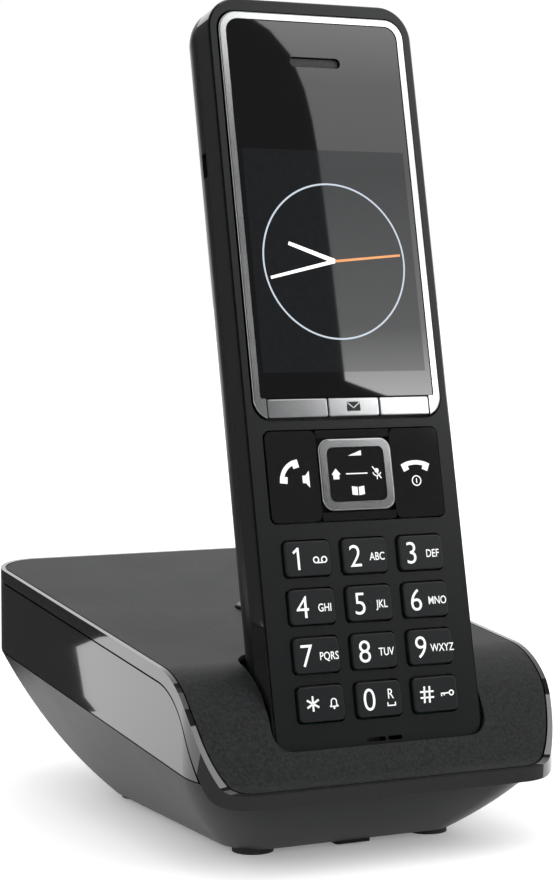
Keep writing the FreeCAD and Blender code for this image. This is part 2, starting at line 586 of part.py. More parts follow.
for side in (-1, 1):
    slab(pads, "XY_Plane", 0.6, [(1, "faceMiddle"), (-0.5, "bandLength"), (1, 0.15)], outline, 4.0, 6.0,
         0.5, 9.0 * side, 11.0)
keep(stand(pads), "handset_charge_pads")

bezel = simple("display_bezel", "XZ_Plane", [(-1, "bezelSeat")], "bezelProud", outline,
               [(2, "bezelHalf")], [(1, "bezelTop"), (-1, "bezelFoot")], "bezelRound", 0,
               [(0.5, "bezelTop"), (0.5, "bezelFoot")])
soften(bezel, 1, [(-1, "bezelProud")], 0.3)
# The window above, then the narrower gap between the legs for the soft keys.
bezel_wide = [(2, "bezelHalf"), (-2, "bezelWall")]
bezel_high = [(1, "bezelTop"), (-1, "bezelWall"), (-1, "lensFoot"), (1, "lensGap")]
bezel_mid = [(0.5, "bezelTop"), (-0.5, "bezelWall"), (0.5, "lensFoot"), (-0.5, "lensGap")]
slab(bezel, "XZ_Plane", -3.0, 2.0, outline, bezel_wide, bezel_high, [(1, "bezelRound"), (-1, 1.4)], 0,
     bezel_mid, kind="Pocket")
slab(bezel, "XZ_Plane", -3.0, 2.0, outline, bezel_wide, 12.0, 0.4, 0,
     [(1, "lensFoot"), (-1, "lensGap"), (1, 6.0)], kind="Pocket")
slab(bezel, "XZ_Plane", -3.0, 2.0, outline, [(1, "softSpan"), (2, "legClear")], 14.0, 0.3, 0,
     [(1, "bezelFoot"), (-1, 1.0)], kind="Pocket")
keep(stand(bezel), "display_bezel")

lens = simple("display_lens", "XZ_Plane", [(-1, "lensSeat")], "lensProud", outline,
              [(2, "bezelHalf"), (-2, "bezelWall"), (-2, "lensGap")],
              [(1, "bezelTop"), (-1, "bezelWall"), (-1, "lensGap"), (-1, "lensFoot")],
              [(1, "bezelRound"), (-1, 1.6)], 0,
              [(0.5, "bezelTop"), (-0.5, "bezelWall"), (-0.5, "lensGap"), (0.5, "lensFoot")])
slab(lens, "XZ_Plane", [(-1, "lensSeat")], "lensProud", outline,
     [(2, "bezelHalf"), (-2, "bezelWall"), (-2, "lensGap")], 12.0, 0.3, 0, [(1, "lensFoot"), (1, 6.0)])
slab(lens, "XZ_Plane", -3.0, 2.0, outline, "slotWidth", "slotHeight", 1.1, 0, "slotMiddle",
     kind="Pocket")
keep(stand(lens), "display_lens")
mesh = simple("earpiece_mesh", "XZ_Plane", -1.2, -0.6, outline, [(1, "slotWidth"), (-1, 0.3)],
              [(1, "slotHeight"), (-1, 0.3)], 0.9, 0, "slotMiddle")
keep(stand(mesh), "earpiece_mesh")

labels = (("one", "two", "three"), ("four", "five", "six"), ("seven", "eight", "nine"),
          ("star", "zero", "pound"))
for row in key_rows:
    for column in key_columns:
        label = "key_" + labels[row][column + 1]
        key = simple(label, "XZ_Plane", [(-1, "keySeat")], "keyProud", outline, "keyWidth",
                     "keyHeight", "keyRound")
        soften(key, 1, [(-1, "keyProud")], 0.3)
        stand(key)
        # Each key is drawn about its own middle and moved to its place on the grid.
        x, z = key_spot(column, row)
        lean = math.radians(num("lean"))
        key.Placement.Base = V(num(x), num("standY") + num(z) * math.sin(lean),
                               num("standZ") + num(z) * math.cos(lean))
        bind(key, "Placement.Base.x", x)
        key.setExpression("Placement.Base.y", "Sizes.standY + (%s) * sin(Sizes.lean * 1 deg)"
                          % formula(z))
        key.setExpression("Placement.Base.z", "Sizes.standZ + (%s) * cos(Sizes.lean * 1 deg)"
                          % formula(z))
        keep(key, label)

# Three keys side by side; the message key sits a little to the right of the middle.
soft_middle = [(1, "messageWidth")]
soft_left = [(0.5, "softSpan"), (1, "messageShift"), (-0.5, "messageWidth"), (-1, "softSplit")]
soft_right = [(0.5, "softSpan"), (-1, "messageShift"), (-0.5, "messageWidth"), (-1, "softSplit")]
soft_spots = (("softkey_left", soft_left, [(-0.5, "softSpan"), (0.5, soft_left)]),
              ("message_key", soft_middle, "messageShift"),
              ("softkey_right", soft_right, [(0.5, "softSpan"), (-0.5, soft_right)]))
for label, width, middle in soft_spots:
    key = simple(label, "XZ_Plane", [(-1, "softSeat")], "softProud", outline, width, "softHeight", 0.4,
                 middle, [(1, "softFoot"), (0.5, "softHeight")])
    soften(key, 1, [(-1, "softProud")], 0.2)
    keep(stand(key), label)

wing = [(1, "navHalf"), (-0.5, "padWidth"), (-1, "wingGap")]
for side, label in ((-1, "talk_key"), (1, "end_key")):
    key = simple(label, "XZ_Plane", [(-1, "softSeat")], "navProud", outline, wing, "navHeight", 1.4,
                 [(0.5 * side, "navHalf"), (0.25 * side, "padWidth"), (0.5 * side, "wingGap")],
                 [(1, "navFoot"), (0.5, "navHeight")])
    keep(stand(key), label)

trim = new_body("nav_trim")
for side in (-1, 1):
    slab(trim, "XZ_Plane", [(-1, "softSeat")], "navProud", outline,
         [(1, "padWidth"), (2, "wingGap"), (-2, "trimGap")],
         [(0.5, "navHeight"), (-0.5, "padHeight"), (-1, 0.3)], 0.3, 0,
         [(1, "padMiddle"), (0.5 * side, "padHeight"), (0.25 * side, "navHeight"),
          (-0.25 * side, "padHeight"), (0.15 * side, 1.0)])
keep(stand(trim), "nav_trim")

ring = simple("dpad_ring", "XZ_Plane", -1.2, "padProud", outline, "padWidth", "padHeight",
              "padRound", 0, "padMiddle")
soften(ring, 1, [(-1, "padProud")], 0.3)
slab(ring, "XZ_Plane", -3.0, 2.0, outline, [(1, "padWidth"), (-2, "padWall")],
     [(1, "padHeight"), (-2, "padWall")], [(1, "padRound"), (-1, 1.2)], 0, "padMiddle",
     kind="Pocket")
keep(stand(ring), "dpad_ring")
cap = simple("dpad_cap", "XZ_Plane", -1.2, [(1, "padProud"), (-1, 0.2)], outline,
             [(1, "padWidth"), (-2, "padWall"), (-1, 0.3)],
             [(1, "padHeight"), (-2, "padWall"), (-1, 0.3)], [(1, "padRound"), (-1, 1.4)], 0,
             "padMiddle")
keep(stand(cap), "dpad_cap")
post = simple("dpad_pivot", "XZ_Plane", -3.1, -1.7, disc, 4.0, 0, "padMiddle")
keep(stand(post), "dpad_pivot")

# --- Write one file per sub-part ---------------------------------------------------
doc.recompute()
faults = [o.Label for o in doc.Objects if "Invalid" in o.State or "Error" in o.State]
if faults:
    raise RuntimeError("not solved: %s" % faults)
os.makedirs("parts", exist_ok=True)
for item in nodes:
    shape = item.Shape
    if shape.isNull() or not shape.isValid() or shape.Volume <= 0:
        raise RuntimeError("bad shape: " + item.Label)
    shape.exportStep("parts/" + item.Label + ".step")
    box = shape.BoundBox
    print("%-24s %2d solid %9.1f mm3  x %.1f %.1f  y %.1f %.1f  z %.1f %.1f" % (
        item.Label, len(shape.Solids), shape.Volume, box.XMin, box.XMax, box.YMin, box.YMax,
        box.ZMin, box.ZMax))
print(len(nodes), "sub-parts")
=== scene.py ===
import json
import math
import bpy
import numpy as np
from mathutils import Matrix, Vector


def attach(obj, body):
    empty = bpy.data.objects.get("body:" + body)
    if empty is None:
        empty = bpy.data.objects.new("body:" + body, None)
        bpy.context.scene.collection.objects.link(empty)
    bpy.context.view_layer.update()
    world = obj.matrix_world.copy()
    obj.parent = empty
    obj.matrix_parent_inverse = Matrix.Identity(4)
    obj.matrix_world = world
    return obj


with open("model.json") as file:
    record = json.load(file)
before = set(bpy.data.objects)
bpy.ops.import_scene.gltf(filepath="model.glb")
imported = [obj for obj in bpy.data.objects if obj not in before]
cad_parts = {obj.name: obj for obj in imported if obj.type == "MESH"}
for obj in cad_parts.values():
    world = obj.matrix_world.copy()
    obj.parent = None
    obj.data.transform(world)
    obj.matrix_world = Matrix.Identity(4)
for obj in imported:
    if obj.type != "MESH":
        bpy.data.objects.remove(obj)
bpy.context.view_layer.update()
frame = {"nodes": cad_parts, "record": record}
print("frame loaded")

mm = 0.001
joints = {j["name"]: j for j in frame["record"]["behaviour"]["joints"]}

# The handset's own directions: across, up along its face, and straight out of its face.
padMiddle = {"up": 61.89, "out": -1.7}
acrossDir = np.array((1.0, 0.0, 0.0))
upDir = np.array(joints["handset_lift"]["axis"], float)
upDir /= np.linalg.norm(upDir)
outDir = np.array((0.0, -upDir[2], upDir[1]))
faceOrigin = (np.array(joints["dpad_nod"]["pos_m"], float)
              - upDir * padMiddle["up"] * mm - outDir * padMiddle["out"] * mm)


def onHandset(points):
    # across, up and out in millimetres become metres in the shared frame
    points = np.asarray(points, float) * mm
    return faceOrigin + points[:, :1] * acrossDir + points[:, 1:2] * upDir + points[:, 2:] * outDir


# ---- materials ------------------------------------------------------------------

def newMaterial(name):
    material = bpy.data.materials.new(name)
    material.use_nodes = True
    nodes = material.node_tree.nodes
    return material, nodes, material.node_tree.links, nodes["Principled BSDF"]


def mouldedPlastic(name, dark, light, roughness, spread, grainScale, grainHeight, coat=0.0,
                   metallic=0.0, bumpStrength=0.5, gleam=0.5):
    # fine moulded grain: noise shifts the colour and the roughness a little and lifts the surface
    material, nodes, links, shader = newMaterial(name)
    coords = nodes.new("ShaderNodeTexCoord")
    grain = nodes.new("ShaderNodeTexNoise")
    grain.inputs["Scale"].default_value = grainScale
    grain.inputs["Detail"].default_value = 4.0
    links.new(coords.outputs["Object"], grain.inputs["Vector"])
    broad = nodes.new("ShaderNodeTexNoise")
    broad.inputs["Scale"].default_value = 60.0
    broad.inputs["Detail"].default_value = 2.0
    links.new(coords.outputs["Object"], broad.inputs["Vector"])
    tint = nodes.new("ShaderNodeValToRGB")
    tint.color_ramp.elements[0].position = 0.35
    tint.color_ramp.elements[1].position = 0.68
    tint.color_ramp.elements[0].color = (*dark, 1.0)
    tint.color_ramp.elements[1].color = (*light, 1.0)
    links.new(grain.outputs["Fac"], tint.inputs["Fac"])
    links.new(tint.outputs["Color"], shader.inputs["Base Color"])
    rough = nodes.new("ShaderNodeMapRange")
    rough.inputs["To Min"].default_value = roughness - spread
    rough.inputs["To Max"].default_value = roughness + spread
    links.new(broad.outputs["Fac"], rough.inputs["Value"])
    links.new(rough.outputs["Result"], shader.inputs["Roughness"])
    bump = nodes.new("ShaderNodeBump")
    bump.inputs["Strength"].default_value = bumpStrength
    bump.inputs["Distance"].default_value = grainHeight
    links.new(grain.outputs["Fac"], bump.inputs["Height"])
    links.new(bump.outputs["Normal"], shader.inputs["Normal"])
    shader.inputs["Metallic"].default_value = metallic
    shader.inputs["Specular IOR Level"].default_value = gleam
    shader.inputs["Coat Weight"].default_value = coat
    shader.inputs["Coat Roughness"].default_value = 0.015
    return material


def circuitBoard(name):
    # green mask with paler copper runs under it, from a brick pattern
    material, nodes, links, shader = newMaterial(name)
    coords = nodes.new("ShaderNodeTexCoord")
    runs = nodes.new("ShaderNodeTexBrick")
    runs.inputs["Scale"].default_value = 260.0
    runs.inputs["Color1"].default_value = (0.012, 0.10, 0.045, 1)
    runs.inputs["Color2"].default_value = (0.016, 0.13, 0.06, 1)
    runs.inputs["Mortar"].default_value = (0.05, 0.22, 0.09, 1)
    links.new(coords.outputs["Object"], runs.inputs["Vector"])
    links.new(runs.outputs["Color"], shader.inputs["Base Color"])
    shader.inputs["Roughness"].default_value = 0.35
    return material


def glowing(name, colour, strength):
    # lit display graphics: a faint speckle over an even glow
    material, nodes, links, shader = newMaterial(name)
    coords = nodes.new("ShaderNodeTexCoord")
    speck = nodes.new("ShaderNodeTexNoise")
    speck.inputs["Scale"].default_value = 1800.0
    links.new(coords.outputs["Object"], speck.inputs["Vector"])
    tint = nodes.new("ShaderNodeValToRGB")
    tint.color_ramp.elements[0].color = (*[c * 0.85 for c in colour], 1.0)
    tint.color_ramp.elements[1].color = (*colour, 1.0)
    links.new(speck.outputs["Fac"], tint.inputs["Fac"])
    links.new(tint.outputs["Color"], shader.inputs["Base Color"])
    links.new(tint.outputs["Color"], shader.inputs["Emission Color"])
    shader.inputs["Emission Strength"].default_value = strength
    shader.inputs["Roughness"].default_value = 0.4
    return material


finishes = {
    "gloss_black": mouldedPlastic("pianoBlack", (.006, .006, .0065), (.008, .008, .0085), .05, .015,
                                  900, .000002, coat=1.0, bumpStrength=0.06),
    "charcoal_grain": mouldedPlastic("charcoalGrain", (.0030, .0035, .0040),
                                     (.0125, .0140, .0155), .56, .04, 1500, .00009,
                                     bumpStrength=0.9),
    "satin_black": mouldedPlastic("satinBlack", (.0042, .0048, .0053), (.0062, .0070, .0077), .30, .03,
                                  3200, .00002, bumpStrength=0.22),
    "rubber_black": mouldedPlastic("footRubber", (.012, .012, .012), (.02, .02, .02), .8, .05, 1500,
                                   .00003),
    "steel": mouldedPlastic("plainSteel", (.42, .42, .43), (.55, .55, .56), .3, .06, 2400, .000004,
                            metallic=1.0),
    "contact_metal": mouldedPlastic("giltContact", (.70, .52, .24), (.85, .66, .34), .22, .05, 2000,
                                    .000004, metallic=1.0),
    "silver_plating": mouldedPlastic("silverPlating", (.74, .75, .76), (.82, .83, .84), .14, .03, 2600,
                                     .000003, metallic=1.0, bumpStrength=0.15),
    "lens_black": mouldedPlastic("windowBlack", (.003, .003, .0035), (.004, .004, .0045), .016, .006,
                                 700, .000001, coat=1.0, bumpStrength=0.04),
    "display_panel": mouldedPlastic("displayGlass", (.008, .009, .011), (.011, .012, .014), .12, .02,
                                    1500, .000001, bumpStrength=0.05),
    "key_black": mouldedPlastic("keyBlack", (.0062, .0070, .0076), (.0098, .0110, .0120), .31, .03, 3000,
                                .00003, bumpStrength=0.3),
    "mat_grey": mouldedPlastic("matRubber", (.10, .10, .10), (.14, .14, .14), .7, .05, 1200, .00003),
    "cell_sleeve": mouldedPlastic("cellSleeve", (.02, .13, .06), (.03, .17, .08), .25, .04, 600, .00001,
                                  coat=.5),
    "driver_dark": mouldedPlastic("driverDark", (.03, .03, .03), (.05, .05, .05), .5, .05, 1600,
                                  .00002),
    "board_green": circuitBoard("boardGreen"),
}
hullBlack = mouldedPlastic("hullBlack", (.0042, .0048, .0053), (.0062, .0070, .0077), .34, .03,
                           3200, .00002, bumpStrength=0.22, gleam=0.18)
legendInk = mouldedPlastic("legendInk", (.80, .81, .82), (.90, .91, .92), .45, .03, 1800, .000003)
iconInk = mouldedPlastic("iconInk", (.012, .012, .012), (.02, .02, .02), .45, .03, 1800, .000003)
ringGlow = glowing("ringGlow", (.42, .47, .53), 0.25)
handGlow = glowing("handGlow", (.9, .9, .9), 0.7)
copperGlow = glowing("copperGlow", (.62, .25, .09), 0.45)
screenDark = mouldedPlastic("screenDark", (.008, .009, .010), (.010, .011, .0125), .018, .006, 900,
                            .000001, coat=0.15, bumpStrength=0.04)

for part in frame["record"]["subparts"]:
    obj = frame["nodes"][part["node"]]
    obj.data.materials.clear()
    obj.data.materials.append(finishes[part["material_slot"]])
frame["nodes"]["base_lower_shell"].data.materials[0] = hullBlack
print("materials set")


# ---- small printed and raised pieces ----------------------------------------------

def addPiece(name, verts, faces, material, body):
    mesh = bpy.data.meshes.new(name)
    mesh.from_pydata([tuple(v) for v in verts], [], [tuple(f) for f in faces])
    mesh.validate()
    mesh.update()
    obj = bpy.data.objects.new(name, mesh)
    bpy.context.scene.collection.objects.link(obj)
    obj.data.materials.append(material)
    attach(obj, body)
    return obj


def merge(parts):
    # several (points, faces) pairs become one
    points, faces, count = [], [], 0
    for verts, polys in parts:
        points.append(verts)
        faces += [tuple(i + count for i in poly) for poly in polys]
        count += len(verts)
    return np.concatenate(points), faces


def ribbon(path, width, low, high, closed=False):
    # A rectangle carried along a path: width across it, from low to high out of the face.
    path = np.asarray(path, float)
    width = np.broadcast_to(np.asarray(width, float), (len(path),))
    if closed:
        ahead, behind = np.roll(path, -1, 0), np.roll(path, 1, 0)
    else:
        ahead = np.vstack([path[1:], 2 * path[-1:] - path[-2:-1]])
        behind = np.vstack([2 * path[:1] - path[1:2], path[:-1]])
    a = ahead - path
    b = path - behind
    a /= np.linalg.norm(a, axis=1)[:, None]
    b /= np.linalg.norm(b, axis=1)[:, None]
    side = (a + b) / 2
    side /= np.maximum((side ** 2).sum(1), 0.3)[:, None]
    side = np.stack([-side[:, 1], side[:, 0]], 1) * width[:, None] / 2
    left, right = path + side, path - side
    n = len(path)
    lows, highs = np.full((n, 1), low), np.full((n, 1), high)
    verts = np.concatenate([np.hstack([left, highs]), np.hstack([right, highs]),
                            np.hstack([right, lows]), np.hstack([left, lows])])
    faces = []
    last = n if closed else n - 1
    for i in range(last):
        j = (i + 1) % n
        for k in range(4):
            m = (k + 1) % 4
            faces.append((k * n + i, m * n + i, m * n + j, k * n + j))
    if not closed:
        faces.append((3 * n, 2 * n, n, 0))
        faces.append((n - 1, 2 * n - 1, 3 * n - 1, 4 * n - 1))
    return verts, faces


def plate(outline, low, high):
    # A flat outline given thickness.
    outline = np.asarray(outline, float)
    n = len(outline)
    verts = np.concatenate([np.hstack([outline, np.full((n, 1), high)]),
                            np.hstack([outline, np.full((n, 1), low)])])
    faces = [tuple(range(n)), tuple(range(2 * n - 1, n - 1, -1))]
    faces += [(i, n + i, n + (i + 1) % n, (i + 1) % n) for i in range(n)]
    return verts, faces


def arcPoints(cx, cy, radius, start, end, count):
    # points on a circle between two angles in degrees
    turn = np.radians(np.linspace(start, end, count))
    return np.stack([cx + radius * np.cos(turn), cy + radius * np.sin(turn)], 1)


def ringPoints(cx, cy, radius, count):
    return arcPoints(cx, cy, radius, 0, 360 * (count - 1) / count, count)


def lettering(text, capHeight, cx, cy, low, high, squeeze=1.0, bold=0.0):
    # text as a thin solid, its capitals of the height given, placed by its middle
    curve = bpy.data.curves.new("lettering", "FONT")
    curve.body = text
    curve.size = 1.0
    curve.resolution_u = 4
    curve.extrude = 0.01
    curve.offset = bold
    holder = bpy.data.objects.new("lettering", curve)
    bpy.context.scene.collection.objects.link(holder)
    bpy.context.view_layer.update()
    mesh = bpy.data.meshes.new_from_object(
        holder.evaluated_get(bpy.context.evaluated_depsgraph_get()))
    verts = np.empty(len(mesh.vertices) * 3)
    mesh.vertices.foreach_get("co", verts)
    verts = verts.reshape(-1, 3)
    faces = [tuple(p.vertices) for p in mesh.polygons]
    bpy.data.objects.remove(holder)
    bpy.data.curves.remove(curve)
    bpy.data.meshes.remove(mesh)
    capShare = 0.69
    scale = capHeight / capShare
    x, y, z = verts[:, 0] * scale * squeeze, verts[:, 1] * scale, verts[:, 2]
    x = x - (x.min() + x.max()) / 2 + cx
    y = y - capHeight / 2 + cy
    z = np.where(z > 0, high, low)
    return np.stack([x, y, z], 1), faces


keyLayout = {"pitchAcross": 13.68, "pitchUp": 10.17, "topRow": 44.365, "face": 0.9,
             "inkThick": 0.03, "digitShift": -2.4, "digitHeight": 4.7, "letterShift": 2.8,
             "letterHeight": 1.65}
keyNames = (("one", "two", "three"), ("four", "five", "six"), ("seven", "eight", "nine"),
            ("star", "zero", "pound"))
keyTexts = {"one": ("", ""), "two": ("2", "ABC"), "three": ("3", "DEF"), "four": ("4", "GHI"),
            "five": ("5", "JKL"), "six": ("6", "MNO"), "seven": ("7", "PQRS"), "eight": ("8", "TUV"),
            "nine": ("9", "WXYZ"), "star": ("", ""), "zero": ("0", ""), "pound": ("", "")}


def starMark(cx, cy, reach, low, high):
    # three crossing strokes make the six-armed star
    return [ribbon([(cx - reach * math.cos(a), cy - reach * math.sin(a)),
                    (cx + reach * math.cos(a), cy + reach * math.sin(a))], .42, low, high)
            for a in (math.radians(90), math.radians(30), math.radians(150))]


def poundMark(cx, cy, reach, low, high):
    strokes = []
    for s in (-1, 1):
        strokes.append(ribbon([(cx + s * .62 - .12, cy - reach), (cx + s * .62 + .12, cy + reach)],
                              .42, low, high))
        strokes.append(ribbon([(cx - reach * .95, cy + s * .62), (cx + reach * .95, cy + s * .62)],
                              .38, low, high))
    return strokes


def smallIcon(name, cx, cy, low, high):
    if name == "one":  # two reels joined by a line
        return [ribbon(ringPoints(cx - .95, cy - .4, .6, 20), .28, low, high, True),
                ribbon(ringPoints(cx + .95, cy - .4, .6, 20), .28, low, high, True),
                ribbon([(cx - .95, cy - 1.0), (cx + .95, cy - 1.0)], .28, low, high)]
    if name == "star":  # bell
        dome = arcPoints(cx, cy + .25, .62, 180, 0, 12)
        outline = np.vstack([[(cx - 1.0, cy - .75)], [(cx - .62, cy - .4)], dome,
                             [(cx + .62, cy - .4)], [(cx + 1.0, cy - .75)]])
        return [ribbon(outline, .24, low, high), ribbon([(cx - 1.0, cy - .75), (cx + 1.0, cy - .75)],
                                                        .24, low, high),
                plate(ringPoints(cx, cy - 1.1, .24, 12), low, high)]
    if name == "zero":  # recall letter over a space bracket
        return [lettering("R", 2.1, cx, cy + .9, low, high, squeeze=.85),
                ribbon([(cx - .9, cy - .9), (cx - .9, cy - 1.6), (cx + .9, cy - 1.6),
                        (cx + .9, cy - .9)], .26, low, high)]
    if name == "pound":  # little key
        return [ribbon(ringPoints(cx + 1.1, cy, .5, 20), .28, low, high, True),
                ribbon([(cx + .6, cy), (cx - 1.5, cy)], .28, low, high),
                ribbon([(cx - 1.35, cy), (cx - 1.35, cy - .6)], .28, low, high),
                ribbon([(cx - .7, cy), (cx - .7, cy - .5)], .28, low, high)]
    return []


def addKeyLegends():
    low, high = keyLayout["face"] + .004, keyLayout["face"] + keyLayout["inkThick"]
    for row, names in enumerate(keyNames):
        for column, name in enumerate(names):
            cx = (column - 1) * keyLayout["pitchAcross"]
            cy = keyLayout["topRow"] - row * keyLayout["pitchUp"]
            digit, letters = keyTexts[name]
            parts = []
            if digit:
                parts.append(lettering(digit, keyLayout["digitHeight"],
                                       cx + keyLayout["digitShift"], cy, low, high,
                                       squeeze=.95, bold=-.006))
            if letters:
                parts.append(lettering(letters, keyLayout["letterHeight"],
                                       cx + keyLayout["letterShift"], cy - .3, low, high,
                                       squeeze=.80, bold=.006))
            if name == "one":  # a stem with a short flag
                left = cx + keyLayout["digitShift"] - .1
                parts.append(ribbon([(left - .95, cy + 1.25), (left + .15, cy + 2.1)], .5, low, high))
                parts.append(ribbon([(left + .2, cy + 2.35), (left + .2, cy - 2.35)], .52, low, high))
            if name == "star":
                parts += starMark(cx - 2.1, cy + .1, 1.6, low, high)
            if name == "pound":
                parts += poundMark(cx - 2.1, cy, 1.75, low, high)
            parts += smallIcon(name, cx + keyLayout["letterShift"], cy, low, high)
            verts, faces = merge(parts)
            addPiece("legend_" + name, onHandset(verts), faces, legendInk, "key_" + name)
    # a low dome: rings of points that shrink as they rise, closed by a tip and a flat underside
    fiveDot = {"across": -.1, "up": 34.2, "radius": .45, "height": .25, "sides": 24, "rings": 5}
    sides, rings = fiveDot["sides"], fiveDot["rings"]
    turn = np.linspace(0, 2 * math.pi, sides, endpoint=False)
    rise = np.linspace(0, math.pi / 2, rings + 1)[:-1]
    dome = [np.stack([fiveDot["across"] + fiveDot["radius"] * math.cos(a) * np.cos(turn),
                      fiveDot["up"] + fiveDot["radius"] * math.cos(a) * np.sin(turn),
                      np.full(sides, keyLayout["face"] + fiveDot["height"] * math.sin(a))], 1)
            for a in rise]
    tipPoint = (fiveDot["across"], fiveDot["up"], keyLayout["face"] + fiveDot["height"])
    underPoint = (fiveDot["across"], fiveDot["up"], keyLayout["face"])
    verts = np.vstack(dome + [[tipPoint], [underPoint]])
    lastRing, tip, under = (rings - 1) * sides, rings * sides, rings * sides + 1
    faces = [(r * sides + i, r * sides + (i + 1) % sides, (r + 1) * sides + (i + 1) % sides,
              (r + 1) * sides + i)
             for r in range(rings - 1) for i in range(sides)]
    faces += [(lastRing + i, lastRing + (i + 1) % sides, tip) for i in range(sides)]
    faces += [((i + 1) % sides, i, under) for i in range(sides)]
    addPiece("dot_five", onHandset(verts), faces, finishes["key_black"], "key_five")


addKeyLegends()
print("key legends")

clock = {"up": 108.56, "radius": 17.15, "ringWidth": .38, "hourLength": 11.5, "hourAngle": 160,
         "minuteLength": 16.2, "minuteAngle": 193, "secondLength": 16.4, "secondAngle": 5,
         "face": 0.25, "thick": .03, "windowHalf": 19.76, "windowLow": 84.22, "windowHigh": 133.3}


def hand(length, angle, tail, wide, tip, low, high):
    # a tapered stroke from its tail through the clock's middle to its tip
    turn = math.radians(angle)
    reach = np.linspace(-tail, length, 8)
    path = np.stack([reach * math.cos(turn), clock["up"] + reach * math.sin(turn)], 1)
    return ribbon(path, np.linspace(wide, tip, 8), low, high)


def addClock():
    low, high = clock["face"] + .012, clock["face"] + clock["thick"]
    window = [(-clock["windowHalf"], clock["windowLow"]), (clock["windowHalf"], clock["windowLow"]),
              (clock["windowHalf"], clock["windowHigh"]), (-clock["windowHalf"], clock["windowHigh"])]
    verts, faces = plate(window, clock["face"] + .002, clock["face"] + .01)
    addPiece("display_window", onHandset(verts), faces, screenDark, "handset")
    verts, faces = ribbon(ringPoints(0, clock["up"], clock["radius"], 128), clock["ringWidth"], low,
                          high, True)
    addPiece("clock_ring", onHandset(verts), faces, ringGlow, "handset")
    hands = [hand(clock["hourLength"], clock["hourAngle"], 0, 1.0, .75, low, high + .01),
             hand(clock["minuteLength"], clock["minuteAngle"], 0, .8, .6, low, high + .01)]
    verts, faces = merge(hands)
    addPiece("clock_hands", onHandset(verts), faces, handGlow, "handset")
    verts, faces = hand(clock["secondLength"], clock["secondAngle"], 2.0, .55, .5, low, high)
    addPiece("clock_second_hand", onHandset(verts), faces, copperGlow, "handset")


addClock()
print("display")


def receiverIcon(cx, cy, radius, spread, bulk, tilt, low, high):
    # telephone receiver: an arc with a short thick block turned inwards at each end
    turn = math.radians(tilt)
    spin = np.array([[math.cos(turn), math.sin(turn)], [-math.sin(turn), math.cos(turn)]])

    def placed(path):
        return (np.asarray(path) - (0, radius)) @ spin + (cx, cy)
    body = ribbon(placed(arcPoints(0, 0, radius, 90 + spread, 90 - spread, 17)), bulk, low, high)
    parts = [body]
    for side in (-1, 1):
        angle = math.radians(90 - side * spread * .88)
        out = radius + bulk * .5
        inner = radius - bulk * 1.35
        block = [(out * math.cos(angle), out * math.sin(angle)),
                 (inner * math.cos(angle), inner * math.sin(angle))]
        parts.append(ribbon(placed(block), bulk * 1.5, low + .002, high + .002))
    return parts


def addNavIcons():
    face = 0.35
    low, high = face + .004, face + .03
    speaker = np.array([(-12.9, 60.4), (-12.2, 60.4), (-11.3, 59.4), (-11.3, 63.0), (-12.2, 62.0),
                        (-12.9, 62.0)])
    verts, faces = merge(receiverIcon(-16.7, 63.6, 4.3, 40, .95, 48, low, high)
                         + [plate(speaker, low, high)])
    addPiece("talk_icon", onHandset(verts), faces, legendInk, "talk_key")
    verts, faces = merge(receiverIcon(14.7, 64.0, 7.0, 26, .95, 0, low, high) + [
                          ribbon(ringPoints(14.7, 60.0, 1.05, 28), .25, low, high, True),
                          ribbon([(14.7, 59.5), (14.7, 60.5)], .25, low, high)])
    addPiece("end_icon", onHandset(verts), faces, legendInk, "end_key")
    face = 0.7
    low, high = face + .004, face + .03
    wedge = np.array([(-1.7, 65.9), (1.5, 65.9), (1.5, 67.0)])
    house = np.array([(-6.1, 61.9), (-5.0, 63.2), (-3.9, 61.9), (-4.3, 61.9), (-4.3, 60.9),
                      (-5.7, 60.9), (-5.7, 61.9)])[::-1]
    bookLeft = np.array([(-1.5, 57.5), (-.15, 57.3), (-.15, 59.1), (-1.5, 59.3)])
    bookRight = np.array([(.15, 57.3), (1.5, 57.5), (1.5, 59.3), (.15, 59.1)])
    parts = [plate(wedge, low, high), plate(house, low, high), plate(bookLeft, low, high),
             plate(bookRight, low, high), ribbon([(-2.6, 62.0), (2.6, 62.0)], .25, low, high),
             plate(ringPoints(4.9, 62.5, .5, 16), low, high),
             ribbon(arcPoints(4.9, 62.3, .95, 190, 350, 10), .22, low, high),
             ribbon([(4.9, 61.3), (4.9, 60.6)], .22, low, high),
             ribbon([(3.9, 63.4), (5.9, 60.8)], .26, low, high)]
    verts, faces = merge(parts)
    addPiece("dpad_icons", onHandset(verts), faces, legendInk, "dpad_rocker")
    face = 0.6
    low, high = face + .004, face + .03
    box = np.array([(-.7, 75.6), (2.5, 75.6), (2.5, 77.6), (-.7, 77.6)])
    flap = [(-.7, 77.5), (.9, 76.3), (2.5, 77.5)]
    verts, faces = plate(box, low, high)
    addPiece("message_icon", onHandset(verts), faces, iconInk, "message_key")
    verts, faces = ribbon(flap, .22, high + .003, high + .012)
    addPiece("message_flap", onHandset(verts), faces, finishes["silver_plating"], "message_key")


addNavIcons()
print("icons")

# ---- floor, light and camera --------------------------------------------------------

